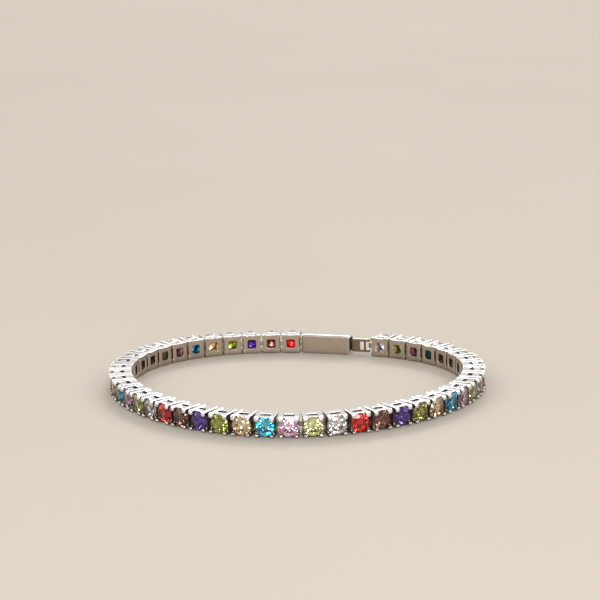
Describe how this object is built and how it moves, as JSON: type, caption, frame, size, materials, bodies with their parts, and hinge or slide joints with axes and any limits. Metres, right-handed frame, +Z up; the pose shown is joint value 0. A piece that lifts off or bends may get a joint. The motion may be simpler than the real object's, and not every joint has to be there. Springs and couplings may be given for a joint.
{
  "type": "tennis bracelet",
  "caption": "Closed tennis bracelet lying on its edge: square four-claw settings in a row, each with a round coloured stone, joined by a box clasp.",
  "frame": {"origin": "the middle of the whole loop in plan, on the surface that the bracelet lies on", "axes": "+Z up, across the width of the band; the front of the loop faces -Y and the clasp is at the back, towards +Y; +X to the right"},
  "size_m": [0.0648, 0.0586, 0.0035],
  "materials": {
    "setting_metal": "bright polished silver colour, high contrast reflections",
    "clasp_metal": "smooth polished silver colour",
    "stone_red": "clear faceted stone, red",
    "stone_brown": "clear faceted stone, brown",
    "stone_purple": "clear faceted stone, purple",
    "stone_olive": "clear faceted stone, olive",
    "stone_champagne": "clear faceted stone, champagne",
    "stone_blue": "clear faceted stone, blue",
    "stone_pink": "clear faceted stone, pink",
    "stone_light_green": "clear faceted stone, light green",
    "stone_white": "clear faceted stone, white"
  },
  "bodies": {
    "root": {"clasp_box": "clasp_metal", "clasp_tongue": "clasp_metal", "setting_row_1": "setting_metal", "setting_row_2": "setting_metal", "setting_row_3": "setting_metal", "setting_row_4": "setting_metal", "setting_row_5": "setting_metal", "stone_01_red": "stone_red", "stone_02_brown": "stone_brown", "stone_03_purple": "stone_purple", "stone_04_olive": "stone_olive", "stone_05_champagne": "stone_champagne", "stone_06_blue": "stone_blue", "stone_07_pink": "stone_pink", "stone_08_light_green": "stone_light_green", "stone_09_white": "stone_white", "stone_10_red": "stone_red", "stone_11_brown": "stone_brown", "stone_12_purple": "stone_purple", "stone_13_olive": "stone_olive", "stone_14_champagne": "stone_champagne", "stone_15_blue": "stone_blue", "stone_16_pink": "stone_pink", "stone_17_light_green": "stone_light_green", "stone_18_white": "stone_white", "stone_19_red": "stone_red", "stone_20_brown": "stone_brown", "stone_21_purple": "stone_purple", "stone_22_olive": "stone_olive", "stone_23_champagne": "stone_champagne", "stone_24_blue": "stone_blue", "stone_25_pink": "stone_pink", "stone_26_light_green": "stone_light_green", "stone_27_white": "stone_white", "stone_28_red": "stone_red", "stone_29_brown": "stone_brown", "stone_30_purple": "stone_purple", "stone_31_olive": "stone_olive", "stone_32_champagne": "stone_champagne", "stone_33_blue": "stone_blue", "stone_34_pink": "stone_pink", "stone_35_light_green": "stone_light_green", "stone_36_white": "stone_white", "stone_37_red": "stone_red", "stone_38_brown": "stone_brown", "stone_39_purple": "stone_purple", "stone_40_olive": "stone_olive", "stone_41_champagne": "stone_champagne", "stone_42_blue": "stone_blue", "stone_43_pink": "stone_pink", "stone_44_light_green": "stone_light_green", "stone_45_white": "stone_white"}
  },
  "joints": []
}
